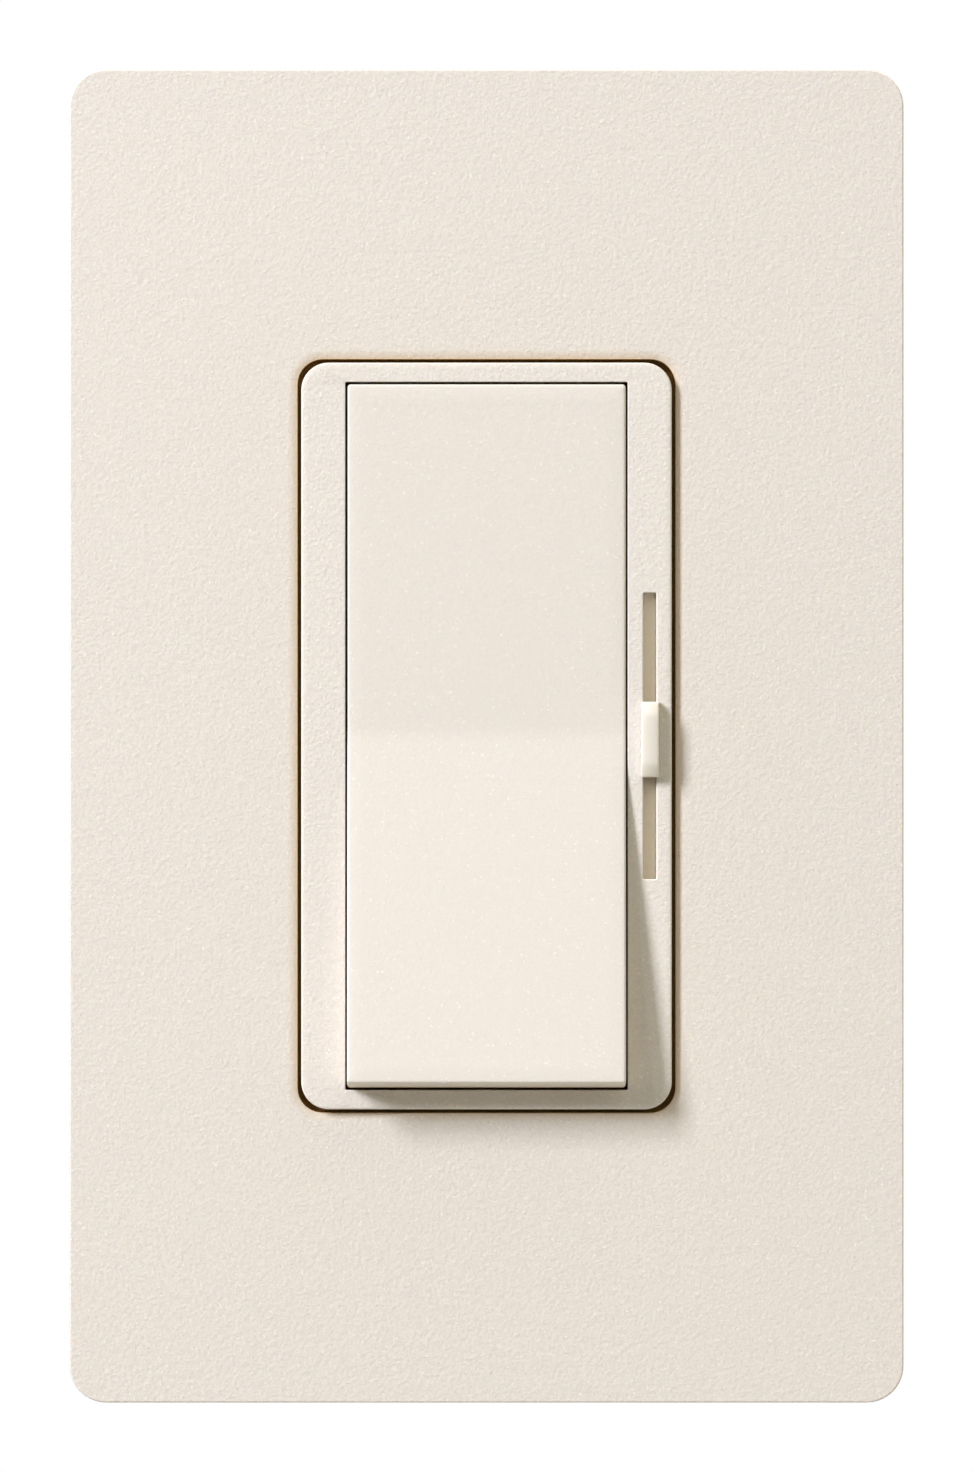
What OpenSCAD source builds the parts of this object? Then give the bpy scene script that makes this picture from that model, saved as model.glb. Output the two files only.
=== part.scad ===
// Wall dimmer with a paddle switch and a slide control, single gang.
// Millimetres. X right, Z up, the room is on the -Y side, the wall plane is y = 0.
// The origin is midway between the two box screws.
// Modules are drawn in a face frame (x right, y up, z out of the wall) and stood up by face().

/* [Wallplate] */
// Width of the wallplate
plate_w = 74.7; // [70:0.1:90]
// Height of the wallplate
plate_h = 119.4; // [110:0.1:135]
// Corner radius of the wallplate
plate_r = 3.3; // [1:0.1:8]
// Distance the wallplate stands out of the wall
plate_proud = 7.4; // [5:0.1:10]
// Wall thickness of the wallplate
plate_wall = 1.9; // [1.2:0.1:3]
// Radius of the front outer edge
plate_edge = 0.25; // [0.2:0.1:1.5]
// Width of the opening for the bezel
opening_w = 33.8; // [33:0.1:36]
// Height of the opening for the bezel
opening_h = 67.4; // [66:0.1:70]
// Radius of the roll-in around the opening
opening_edge = 0.25; // [0.2:0.1:1.4]

/* [Bezel] */
// Width of the bezel
bezel_w = 33.2; // [32:0.1:35]
// Height of the bezel
bezel_h = 66.9; // [65:0.1:69]
// Corner radius of bezel and opening
bezel_r = 2.4; // [1:0.1:4]
// Distance of the bezel face from the wall
bezel_proud = 8.05; // [6:0.05:9]
// Width of the paddle well
well_w = 25.3; // [24:0.1:27]
// Height of the paddle well
well_h = 63.4; // [60:0.1:64]
// Centre line of the slide slot
slot_x = 14.62; // [14:0.01:15]
// Width of the slide slot
slot_w = 1.15; // [0.8:0.05:1.6]
// Length of the slide slot
slot_h = 25.6; // [20:0.1:30]

/* [Paddle] */
// Width of the paddle
paddle_w = 24.9; // [23:0.1:26]
// Radius of the paddle ends about the pivot
paddle_end = 31.6; // [30:0.05:31.65]
// Half of the full rocking angle
paddle_half = 3; // [1:0.5:5]
// Distance of the paddle pivot from the wall
pivot_z = 5.1; // [4:0.05:5.5]
// Height of the paddle face over the pivot
paddle_top = 2.95; // [2:0.05:3.5]

/* [Slide] */
// Height of the slide knob
knob_h = 6.75; // [5:0.05:9]
// Width of the slide knob
knob_w = 1.6; // [1.3:0.05:2.4]
// Distance the knob stands out of the bezel
knob_out = 1.2; // [0.8:0.05:4]
// Resting height of the knob centre
knob_y = -0.31; // [-8:0.01:8]

/* [Mounting] */
// Spacing of the two box screws
box_pitch = 83.34; // [80:0.01:90]
// Spacing of the two adapter screws
adapter_pitch = 96.8; // [90:0.1:100]
// Thread radius of box and adapter screws
screw_r = 1.75; // [1.5:0.01:2]
// Depth of the rear housing behind the wall plane
housing_d = 33; // [25:0.5:45]
// Width of the rear housing
housing_w = 44.4; // [40:0.1:46]
// Height of the rear housing
housing_h = 69; // [60:0.5:72]

/* [Hidden] */
$fn = 48;
ivory = [0.90, 0.86, 0.79];
yoke_t = 1.5;
arm_len = 12;
rocker_len = 7;
rocker_z = pivot_z - arm_len - rocker_len;
rocker_half = paddle_half * arm_len / rocker_len;
strip_t = 0.76;
strip_z = rocker_z - 3.5;
term_z = rocker_z + 0.7;
pcb_z = -22;
pcb_t = 1.6;
triac_x = -10.1;
triac_y = 17.4;
leg_y = 24;
case_x = 18.4;
case_y = 31;
choke_x = -9.5;
choke_y = -20.4;

module face() rotate([90, 0, 0]) children();

module block(x0, x1, y0, y1, z0, z1) translate([x0, y0, z0]) cube([x1 - x0, y1 - y0, z1 - z0]);

module bar_x(r, x0, x1, y, z) translate([x0, y, z]) rotate([0, 90, 0]) cylinder(r = r, h = x1 - x0);

module rod(r, x, y, z0, z1) translate([x, y, z0]) cylinder(r = r, h = z1 - z0);

module rrect(w, h, r) {
    square([w - 2 * r, h], center = true);
    square([w, h - 2 * r], center = true);
    for (sx = [-1, 1], sy = [-1, 1]) translate([sx * (w / 2 - r), sy * (h / 2 - r)]) circle(r);
}

module rbox(w, h, r, z0, z1) translate([0, 0, z0]) linear_extrude(height = z1 - z0) rrect(w, h, r);

// Sweeps a profile around a rounded rectangle; profile x is measured from the corner axis.
module around(w, h, r) {
    a = w / 2 - r;
    b = h / 2 - r;
    for (k = [0:3])
        translate([(k == 0 || k == 3) ? a : -a, k < 2 ? b : -b, 0])
            rotate([0, 0, 90 * k]) rotate_extrude(angle = 90) children();
    for (k = [0:3])
        rotate([0, 0, 90 * k]) translate([k % 2 == 0 ? a : b, 0, 0]) rotate([90, 0, 0])
            linear_extrude(height = 2 * (k % 2 == 0 ? b : a), center = true) children();
}

// Waste outside a rounded outer edge at height t.
module outer_waste(r, t, e) difference() {
    translate([r - e, t - e]) square([e + 1, e + 1]);
    translate([r - e, t - e]) circle(e);
}

// Waste inside the rolled edge of an opening at height t.
module inner_waste(r, t, e) difference() {
    translate([r - 0.2, t - e]) square([e + 0.2, e + 1]);
    translate([r + e, t - e]) circle(e);
}

module wallplate() color(ivory) face() {
    inner = plate_proud - plate_wall;
    difference() {
        rbox(plate_w, plate_h, plate_r, 0, plate_proud);
        around(plate_w, plate_h, plate_r) outer_waste(plate_r, plate_proud, plate_edge);
        rbox(plate_w - 2 * plate_wall, plate_h - 2 * plate_wall, plate_r - 1.4, -1, inner);
        rbox(opening_w, opening_h, bezel_r, 1, plate_proud + 1);
        around(opening_w, opening_h, bezel_r) inner_waste(bezel_r, plate_proud, opening_edge);
        block(-3.5, 3.5, -plate_h / 2 - 1, -plate_h / 2 + 1, -1, 0.8);
    }
    // snap ledges behind the adapter edge
    for (sx = [-1, 1], sy = [-1, 1]) {
        translate([sx * 17, sy * (plate_h / 2 - plate_wall - 0.45), 1]) cube([9, 1.2, 0.8], center = true);
        translate([sx * (plate_w / 2 - plate_wall - 0.3), sy * 30, 1]) cube([0.9, 9, 0.8], center = true);
    }
    // stiffening ribs on the back of the face
    for (s = [-1, 1]) {
        translate([s * 27, 0, inner - 0.9]) cube([1.1, 84, 1.9], center = true);
        translate([0, s * 37, inner - 0.9]) cube([50, 1.1, 1.9], center = true);
    }
}

module wallplate_adapter() color([0.86, 0.83, 0.77]) face() {
    difference() {
        rbox(70, 114.4, 2, yoke_t, yoke_t + 2);
        rbox(36.4, 70.4, 3, 0, 6);
        for (s = [-1, 1]) {
            rod(4.6, 0, s * box_pitch / 2, 0, 6);
            rod(screw_r + 0.15, 0, s * adapter_pitch / 2, 0, 6);
            for (t = [-1, 1]) translate([t * 27, s * 16, 2]) linear_extrude(height = 6, center = true) rrect(8, 22, 2);
            for (t = [-1, 1]) translate([t * 22, s * 46, 2]) linear_extrude(height = 6, center = true) rrect(14, 8, 2);
        }
    }
    difference() {
        rbox(69, 113.4, 1.5, yoke_t + 1.9, yoke_t + 3);
        rbox(66.6, 111, 1, 0, 6);
    }
}

module yoke() color([0.75, 0.76, 0.78]) face() {
    difference() {
        linear_extrude(height = yoke_t) difference() {
            union() {
                rrect(60, 68, 2);
                rrect(44, 106.4, 3);
            }
            for (s = [-1, 1]) {
                translate([0, s * box_pitch / 2]) {
                    square([2.4, 3.8], center = true);
                    for (t = [-1.2, 1.2]) translate([t, 0]) circle(1.9);
                }
                translate([0, s * adapter_pitch / 2]) circle(screw_r + 0.1);
                for (t = [-1, 1]) {
                    translate([t * 16.2, s * leg_y]) square([2.1, 5.6], center = true);
                    translate([t * case_x, s * case_y]) circle(1.45);
                    translate([t * 27, s * 11.3]) square([7, 1.4], center = true);
                }
            }
            square([9, 10], center = true);
            translate([slot_x, 0]) rrect(2.4, 27.4, 1.1);
            translate([triac_x, triac_y]) circle(1.65);
        }
        for (s = [-1, 1]) translate([s * 23, 0, yoke_t]) cube([0.7, 70, 0.8], center = true);
    }
    // tab for the ground screw, bent back from the lower end
    difference() {
        block(-20, -12, -38.9, -37.4, -8.8, 0.2);
        translate([-16, -37, -4.6]) rotate([90, 0, 0]) cylinder(r = screw_r + 0.1, h = 3);
    }
}

module box_screws() color([0.80, 0.80, 0.78]) face()
    for (s = [-1, 1]) translate([0, s * box_pitch / 2, 0]) {
        difference() {
            union() {
                rod(3.4, 0, 0, yoke_t, yoke_t + 0.9);
                translate([0, 0, yoke_t + 0.9]) cylinder(r1 = 3.4, r2 = 2.2, h = 0.9);
            }
            translate([0, 0, yoke_t + 1.8]) cube([1, 8, 1.8], center = true);
        }
        rod(1.5, 0, 0, -0.5, yoke_t + 0.1);
        rod(screw_r, 0, 0, -18.6, -0.45);
        translate([0, 0, -19.4]) cylinder(r1 = 1.1, r2 = screw_r, h = 0.8);
    }

module screw_retainers() color([0.62, 0.45, 0.30]) face()
    for (s = [-1, 1]) translate([0, s * box_pitch / 2, -0.4]) linear_extrude(height = 0.4) difference() {
        rrect(9, 9, 1.5);
        circle(1.56);
    }

module adapter_screws() color([0.80, 0.80, 0.78]) face()
    for (s = [-1, 1]) translate([0, s * adapter_pitch / 2, 0]) {
        difference() {
            union() {
                rod(2.9, 0, 0, yoke_t + 2, yoke_t + 2.7);
                translate([0, 0, yoke_t + 2.7]) cylinder(r1 = 2.9, r2 = 2, h = 0.8);
            }
            translate([0, 0, yoke_t + 3.5]) cube([0.9, 8, 1.6], center = true);
        }
        rod(screw_r, 0, 0, -4.2, yoke_t + 2.1);
        translate([0, 0, -5]) cylinder(r1 = 1.1, r2 = screw_r, h = 0.8);
    }

module bezel() color(ivory) face() {
    face_in = bezel_proud - 0.9;
    difference() {
        union() {
            rbox(bezel_w, bezel_h, bezel_r, yoke_t, bezel_proud);
            rbox(bezel_w + 2.2, bezel_h + 2.2, bezel_r + 1, yoke_t, plate_proud - plate_wall - 0.3);
        }
        around(bezel_w, bezel_h, bezel_r) outer_waste(bezel_r, bezel_proud, 0.2);
        block(-well_w / 2, well_w / 2, -well_h / 2, well_h / 2, 0, 9);
        block(slot_x - slot_w / 2, slot_x + slot_w / 2, -slot_h / 2, slot_h / 2, 6, 9);
        block(13.4, 15.9, -32.1, 32.1, face_in - 0.7, face_in);
        block(14.05, 15.5, -16, 16, 0, face_in - 0.6);
        block(-15.5, -14.05, -30, 30, 0, face_in);
        bar_x(0.85, -13.5, 13.5, 0, pivot_z);
    }
    // snap legs through the yoke
    for (t = [0, 1], s = [-1, 1]) mirror([t, 0, 0]) translate([0, s * leg_y, 0]) {
        block(15.5, 16.6, -2.5, 2.5, -2.4, yoke_t + 0.1);
        translate([0, 2.5, 0]) rotate([90, 0, 0]) linear_extrude(height = 5)
            polygon([[16.5, -2.4], [16.8, -2.4], [17.6, -0.7], [17.6, -0.05], [16.5, -0.05]]);
    }
}

module along_x(w) rotate([90, 0, 90]) linear_extrude(height = w, center = true) children();

module paddle_pose() translate([0, 0, pivot_z]) rotate([-paddle_half, 0, 0]) children();

// Upper half of the paddle about its pivot: a rounded bar, tilted, with its end on the pivot circle.
module paddle_wing(e) intersection() {
    rotate([paddle_half, 0, 0]) translate([0, 34, 0]) rotate([90, 0, 0]) linear_extrude(height = 36) {
        translate([-paddle_w / 2, -2.4]) square([paddle_w, 2.4 + paddle_top - e]);
        translate([-paddle_w / 2 + e, 0]) square([paddle_w - 2 * e, paddle_top]);
        for (t = [-1, 1]) translate([t * (paddle_w / 2 - e), paddle_top - e]) circle(e);
    }
    bar_x(paddle_end, -14, 14, 0, 0);
    block(-14, 14, 0, 40, -10, 10);
}

// Hollow under that half, and the cross ribs left in it.
module paddle_hollow() intersection() {
    rotate([paddle_half, 0, 0]) block(1.4 - paddle_w / 2, paddle_w / 2 - 1.4, -2, 34, -6, paddle_top - 1.8);
    bar_x(paddle_end - 1.6, -14, 14, 0, 0);
    block(-14, 14, -0.01, 40, -10, 10);
}

module paddle() color(ivory) face() paddle_pose() {
    difference() {
        union() {
            difference() {
                for (s = [0, 1]) mirror([0, s, 0]) paddle_wing(0.45);
                for (s = [0, 1]) mirror([0, s, 0]) paddle_hollow();
            }
            for (s = [0, 1]) mirror([0, s, 0]) rotate([paddle_half, 0, 0])
                for (y = [10, 20]) block(0.8 - paddle_w / 2, paddle_w / 2 - 0.8, y - 0.5, y + 0.5, -1.5, paddle_top - 1);
            block(0.8 - paddle_w / 2, paddle_w / 2 - 0.8, -0.6, 0.6, -1.5, paddle_top - 1.2);
            rod(2.9, 0, 0, -9.8, paddle_top - 1.2);
        }
        rod(1.7, 0, 0, -9.2, -1);
        rod(1.27, 0, 0, -11, -9);
    }
    for (t = [0, 1]) mirror([t, 0, 0]) bar_x(0.8, 11.6, 13.3, 0, 0);
}

module plunger() color([0.85, 0.83, 0.78]) face() paddle_pose() {
    translate([0, 0, -arm_len]) sphere(r = 1.2);
    rod(1.2, 0, 0, -arm_len, -9);
    rod(1.62, 0, 0, -9.14, -8.2);
    rod(0.8, 0, 0, -8.3, -5);
}

module plunger_spring() color([0.70, 0.71, 0.73]) face() paddle_pose() difference() {
    rod(1.5, 0, 0, -8.17, -1.03);
    rod(1.1, 0, 0, -9, 0);
}

module slider_knob() color([0.93, 0.90, 0.84]) face() translate([slot_x, knob_y, 0]) {
    z0 = bezel_proud + 0.1;
    z1 = bezel_proud + knob_out;
    along_x(knob_w) polygon([[-knob_h / 2, z0], [knob_h / 2, z0], [knob_h / 2, z1 - 0.38],
        [knob_h / 2 - 1.05, z1], [-knob_h / 2 + 1.05, z1], [-knob_h / 2, z1 - 0.38]]);
    block(-0.45, 0.45, -2.6, 2.6, 5, z0 + 0.1);
    block(-0.22, 0.22, -1.4, 1.4, 3.6, 5.1);
}

module dust_shutter() color([0.88, 0.84, 0.76]) face() translate([slot_x, knob_y, 0]) difference() {
    block(-1.1, 1.1, -22.4, 22.4, bezel_proud - 1.45, bezel_proud - 1);
    block(-0.5, 0.5, -2.65, 2.65, 5, 8);
}

module slider_carrier() color([0.30, 0.31, 0.33]) face() translate([slot_x, knob_y, 0]) {
    difference() {
        block(-0.45, 0.45, -2.5, 2.5, -3.6, 4.97);
        block(-0.25, 0.25, -1.45, 1.45, 3.5, 6);
    }
    difference() {
        block(-3.4, 3.4, -4, 4, -6.2, -3.5);
        for (x = [-2, 2]) block(x - 0.7, x + 0.7, -3, 3, -4.6, -3);
    }
}

module pot_wiper() color([0.84, 0.70, 0.40]) face() translate([slot_x, knob_y, 0]) {
    block(-2.4, 2.4, -3.2, 3.2, -6.55, -6.2);
    for (x = [-1.7, 0.5]) {
        block(x, x + 1.2, 2.4, 3.2, -7.76, -6.4);
        block(x, x + 1.2, -0.6, 2.6, -7.76, -7.4);
    }
}

module pot_body() color([0.17, 0.17, 0.19]) face() translate([slot_x, 0, 0]) {
    difference() {
        block(-4.4, 4.4, -20.8, 20.8, -9.4, -2);
        block(-3.5, 3.5, -17.8, 17.8, -8.4, 0);
    }
    for (s = [-1, 1]) translate([0, s * 19.3, -1.5]) cube([8.8, 3, 3], center = true);
}

module pot_track() color([0.12, 0.11, 0.11]) face() translate([slot_x, 0, 0]) {
    block(-3.2, 3.2, -17.6, 17.6, -8.4, -7.9);
    for (x = [-1.75, 0.45]) block(x, x + 1.3, -17, 17, -7.95, -7.8);
}

module pot_pins() color([0.80, 0.80, 0.76]) face() translate([slot_x, 0, 0])
    for (p = [[-2, -19.3], [2, -19.3], [0, 19.3]]) rod(0.35, p[0], p[1], -24.3, -9.4);

module lead_holes() {
    for (p = [[-2, -19.3], [2, -19.3], [0, 19.3]]) rod(0.5, slot_x + p[0], p[1], -25, -20);
    for (x = [-2.54, 0, 2.54]) translate([triac_x + x, 4.5, pcb_z]) cube([1.1, 0.9, 6], center = true);
    for (s = [-1, 1]) translate([8.75, s * 9, pcb_z]) cube([1.8, 1.1, 6], center = true);
    translate([-8.75, 0, pcb_z]) cube([1.8, 1.1, 6], center = true);
    for (y = [16, 22.6, 25.6], x = [5, 15]) rod(0.45, x, y, -25, -20);
    for (x = [4.5, 11.5]) rod(0.45, x, -15.6, -25, -20);
    for (x = [9.2, 14]) rod(0.45, x, -23.2, -25, -20);
    for (x = [-16, -8.8]) rod(0.45, x, 19.75, -25, -20);
}

module pcb() color([0.20, 0.35, 0.22]) face() difference() {
    rbox(38, 54.8, 1, pcb_z - pcb_t, pcb_z);
    lead_holes();
}

module triac() color([0.13, 0.13, 0.14]) face() translate([triac_x, triac_y, 0]) {
    difference() {
        block(-5.1, 5.1, -3.3, 3.3, -1.55, -0.25);
        rod(1.85, 0, 0, -3, 1);
    }
    difference() {
        block(-5.1, 5.1, -12.3, -3.2, -4.65, -0.25);
        block(-6, 6, -13, -11.9, -1, 0);
    }
    for (x = [-2.54, 0, 2.54]) {
        block(x - 0.4, x + 0.4, -13.2, -12.2, -3, -2.4);
        block(x - 0.4, x + 0.4, -13.2, -12.6, -24.3, -2.4);
    }
}

module triac_insulator() color([0.86, 0.84, 0.78]) face() difference() {
    translate([triac_x, triac_y - 4.7, -0.23]) linear_extrude(height = 0.2) rrect(11.6, 17.2, 1);
    rod(1.85, triac_x, triac_y, -1, 1);
}

module triac_rivet() color([0.80, 0.80, 0.80]) face() translate([triac_x, triac_y, 0]) {
    rod(1.6, 0, 0, -1.6, yoke_t);
    rod(2.8, 0, 0, -2.4, -1.57);
    rod(2.4, 0, 0, yoke_t, yoke_t + 0.6);
}

module choke_core() color([0.45, 0.47, 0.44]) face() translate([choke_x, choke_y, -20.9])
    rotate_extrude() translate([4.2, 0]) square([3.2, 7]);

module choke_winding() color([0.72, 0.38, 0.20]) face() translate([choke_x, choke_y, 0])
    for (k = [0:13]) rotate([0, 0, k * 360 / 14]) difference() {
        block(3.4, 8.3, -0.4, 0.4, -21.85, -13.1);
        block(4.15, 7.45, -1, 1, -21.0, -13.8);
    }

module filter_capacitor() color([0.75, 0.30, 0.16]) face() {
    translate([-12.4, 19.75, -21.98]) linear_extrude(height = 10.6) rrect(12, 9.5, 0.8);
    for (x = [-16, -8.8]) rod(0.3, x, 19.75, -24.3, -21.5);
}

module timing_capacitor() color([0.20, 0.32, 0.55]) face() {
    translate([11.6, -23.2, -21.98]) linear_extrude(height = 7) rrect(7.2, 4.4, 1.2);
    for (x = [9.2, 14]) rod(0.3, x, -23.2, -24.3, -21.5);
}

module resistors() color([0.78, 0.68, 0.52]) face() for (y = [16, 22.6, 25.6]) {
    bar_x(1.15, 6.9, 13.1, y, -20.6);
    bar_x(0.3, 4.7, 15.3, y, -20.6);
    for (x = [5, 15]) rod(0.3, x, y, -24.3, -20.4);
}

module diac() color([0.75, 0.42, 0.25]) face() {
    bar_x(0.95, 6, 10, -15.6, -20.8);
    bar_x(0.28, 4.22, 11.78, -15.6, -20.8);
    for (x = [4.5, 11.5]) rod(0.28, x, -15.6, -24.3, -20.6);
}

module rocker_pose() translate([0, 0, rocker_z]) rotate([rocker_half, 0, 0]) children();

module contact_rocker() color([0.80, 0.66, 0.36]) face() rocker_pose() {
    bar_x(1.5, -2.6, 2.6, 0, 0);
    bar_x(0.8, -4.6, 4.6, 0, 0);
    block(-2, 2, -10.6, 10.6, -0.5, 0.5);
    difference() {
        block(-2.2, 2.2, -2.6, 2.6, 0, rocker_len + 1);
        block(-3, 3, -1.3, 1.3, rocker_len, rocker_len + 2);
        bar_x(1.3, -3, 3, 0, rocker_len);
    }
}

module rocker_contacts() color([0.85, 0.85, 0.84]) face() rocker_pose() intersection() {
    for (s = [-1, 1]) translate([0, s * 9, 0.7]) sphere(r = 2);
    block(-4, 4, -14, 14, -3, -0.5);
}

module fixed_contacts() color([0.85, 0.85, 0.84]) face()
    for (s = [-1, 1]) rod(1.6, 0, s * 9, strip_z + strip_t, rocker_z - 2.14);

module side_plate(y, half) difference() {
    union() {
        block(-2.2, 20, y - 2, y + 2, strip_z, strip_z + strip_t);
        block(19.2, 20, y - half, y + half, strip_z, term_z + 3.6);
        block(8, 9.5, y - 0.4, y + 0.4, -24.3, strip_z + 0.1);
    }
    bar_x(screw_r + 0.1, 18, 21, y, term_z);
}

module common_cradle() color([0.84, 0.72, 0.42]) face() {
    mirror([1, 0, 0]) side_plate(0, 4.2);
    for (t = [0, 1]) mirror([t, 0, 0]) difference() {
        block(3.2, 4, -2, 2, strip_z, rocker_z + 1.6);
        bar_x(0.86, 3, 5, 0, rocker_z);
    }
    block(-4, 4, -2, 2, strip_z, strip_z + strip_t);
}

module traveller_strips() color([0.84, 0.72, 0.42]) face() for (s = [-1, 1]) side_plate(s * 9, 4.2);

module switch_base() color([0.22, 0.22, 0.24]) face() difference() {
    block(-6.8, 6.8, -11.8, 11.8, pcb_z, strip_z);
    block(-5.6, 5.6, -10.6, 10.6, pcb_z - 1, strip_z - 1.4);
}

module side_screw(y) translate([20.03, y, term_z]) rotate([0, 90, 0]) {
    difference() {
        union() {
            cylinder(r = 3.4, h = 1.2);
            translate([0, 0, 1.2]) cylinder(r1 = 3.4, r2 = 2.4, h = 0.7);
        }
        translate([0, 0, 1.9]) cube([1, 8, 1.6], center = true);
    }
    translate([0, 0, -5]) cylinder(r = screw_r, h = 5.1);
}

module terminal_screws() color([0.84, 0.70, 0.36]) face() {
    for (s = [-1, 1]) side_screw(s * 9);
    mirror([1, 0, 0]) side_screw(0);
}

module ground_screw() color([0.20, 0.50, 0.26]) face() translate([-16, -38.93, -4.6]) rotate([90, 0, 0]) {
    difference() {
        union() {
            cylinder(r = 3.3, h = 1.2);
            translate([0, 0, 1.2]) cylinder(r1 = 3.3, r2 = 2.4, h = 0.7);
        }
        translate([0, 0, 1.9]) cube([1, 8, 1.6], center = true);
    }
    translate([0, 0, -3.7]) cylinder(r = screw_r, h = 3.8);
}

module rear_housing() color([0.16, 0.16, 0.17]) face() {
    difference() {
        union() {
            difference() {
                rbox(housing_w, housing_h, 3, -housing_d, 0);
                rbox(housing_w - 4, housing_h - 4, 1.5, -housing_d + 2, 1);
            }
            for (sx = [-1, 1], sy = [-1, 1]) {
                rod(2.9, sx * case_x, sy * case_y, -housing_d + 1, 0);
                translate([sx * 19.4, sy * 20, (-housing_d + pcb_z - pcb_t) / 2])
                    cube([2.2, 8, housing_d + pcb_z - pcb_t], center = true);
            }
        }
        for (sx = [-1, 1], sy = [-1, 1]) {
            rod(1.5, sx * case_x, sy * case_y, -40, 1);
            rod(2.7, sx * case_x, sy * case_y, -40, -housing_d + 1.8);
        }
        for (s = [-1, 1]) block(19, 24, s * 9 - 4.3, s * 9 + 4.3, strip_z - 0.6, term_z + 4.3);
        block(-24, -19, -4.3, 4.3, strip_z - 0.6, term_z + 4.3);
    }
}

module housing_screws() color([0.75, 0.76, 0.78]) face()
    for (sx = [-1, 1], sy = [-1, 1]) translate([sx * case_x, sy * case_y, 0]) {
        difference() {
            rod(2.4, 0, 0, -housing_d + 0.3, -housing_d + 1.8);
            translate([0, 0, -housing_d]) cube([3.4, 0.8, 1.8], center = true);
            translate([0, 0, -housing_d]) cube([0.8, 3.4, 1.8], center = true);
        }
        rod(1.4, 0, 0, -housing_d + 1.7, yoke_t - 0.2);
    }

wallplate();
wallplate_adapter();
adapter_screws();
yoke();
box_screws();
screw_retainers();
bezel();
paddle();
plunger();
plunger_spring();
slider_knob();
dust_shutter();
slider_carrier();
pot_wiper();
pot_body();
pot_track();
pot_pins();
pcb();
triac();
triac_insulator();
triac_rivet();
choke_core();
choke_winding();
filter_capacitor();
timing_capacitor();
resistors();
diac();
contact_rocker();
rocker_contacts();
fixed_contacts();
common_cradle();
traveller_strips();
switch_base();
terminal_screws();
ground_screw();
rear_housing();
housing_screws();
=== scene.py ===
"""Looks for the wall dimmer. Shapes are drawn in face millimetres (x right, y up, z out of the wall)
and stood up into the shared frame, in metres, by stand()."""

import math

import bmesh
import bpy
from mathutils import Matrix, Vector


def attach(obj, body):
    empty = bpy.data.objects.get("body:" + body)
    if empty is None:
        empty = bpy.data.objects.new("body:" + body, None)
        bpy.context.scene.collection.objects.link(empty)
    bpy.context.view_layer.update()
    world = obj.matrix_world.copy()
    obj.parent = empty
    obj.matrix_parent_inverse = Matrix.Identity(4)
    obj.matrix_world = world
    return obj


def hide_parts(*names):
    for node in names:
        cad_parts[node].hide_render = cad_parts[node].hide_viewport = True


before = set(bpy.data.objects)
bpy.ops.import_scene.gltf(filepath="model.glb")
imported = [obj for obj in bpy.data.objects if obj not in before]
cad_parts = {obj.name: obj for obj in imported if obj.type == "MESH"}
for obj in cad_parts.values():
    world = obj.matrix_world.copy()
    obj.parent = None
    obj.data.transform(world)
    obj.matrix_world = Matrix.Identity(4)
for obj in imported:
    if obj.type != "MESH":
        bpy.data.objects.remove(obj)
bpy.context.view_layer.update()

# ---------------------------------------------------------------- sizes, in millimetres
PLATE_W, PLATE_H, PLATE_R, PLATE_Z, PLATE_T, PLATE_E = 74.7, 119.4, 3.3, 7.4, 1.9, 0.15
OPEN_W, OPEN_H, OPEN_R = 33.84, 67.48, 2.25
BEZEL_W, BEZEL_H, BEZEL_R, BEZEL_Z = 33.16, 66.84, 2.45, 8.05
WELL_W, WELL_H = 25.28, 63.38
SLOT_X, SLOT_W, SLOT_H = 14.62, 1.15, 25.6
PADDLE_W, PADDLE_END, PADDLE_HALF, PIVOT_Z, PADDLE_TOP = 24.92, 31.6, math.radians(3), 5.1, 2.95
KNOB_H, KNOB_W, KNOB_OUT, KNOB_Y = 6.75, 1.6, 1.2, -0.31
YOKE_T, TERM_Z, HOUSING_D = 1.5, -13.2, 33
BOX_Y, ADAPTER_Y, SCREW_R = 83.34 / 2, 96.8 / 2, 1.75
CASE_X, CASE_Y = 18.4, 31

BOARD_TOP, LEAD_TIP = -22, -24.3
BEVEL_ABOVE, FLAT_BELOW, WELD = 35, 0.5, 0.0005  # degrees, degrees, millimetres

STAND = Matrix(((0.001, 0, 0, 0), (0, 0, -0.001, 0), (0, 0.001, 0, 0), (0, 0, 0, 1)))
PADDLE_POSE = Matrix.Translation((0, 0, PIVOT_Z)) @ Matrix.Rotation(-PADDLE_HALF, 4, "X")


# ---------------------------------------------------------------- mesh tools
def solid(name, verts, faces):
    """A mesh object still in face millimetres."""
    mesh = bpy.data.meshes.new(name)
    mesh.from_pydata([tuple(v) for v in verts], [], faces)
    mesh.validate()
    obj = bpy.data.objects.new(name, mesh)
    bpy.context.collection.objects.link(obj)
    return obj


def bake(obj):
    """Turns the object's modifiers into mesh."""
    graph = bpy.context.evaluated_depsgraph_get()
    mesh = bpy.data.meshes.new_from_object(obj.evaluated_get(graph))
    old = obj.data
    obj.modifiers.clear()
    obj.data = mesh
    bpy.data.meshes.remove(old)
    return obj


def combine(base, tool, operation):
    mod = base.modifiers.new("combine", "BOOLEAN")
    mod.object, mod.operation, mod.solver = tool, operation, "EXACT"
    bake(base)
    mesh = tool.data
    bpy.data.objects.remove(tool)
    bpy.data.meshes.remove(mesh)
    return base


def cut(base, *tools):
    for tool in tools:
        combine(base, tool, "DIFFERENCE")
    return base


def add(base, *tools):
    for tool in tools:
        combine(base, tool, "UNION")
    return base


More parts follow.
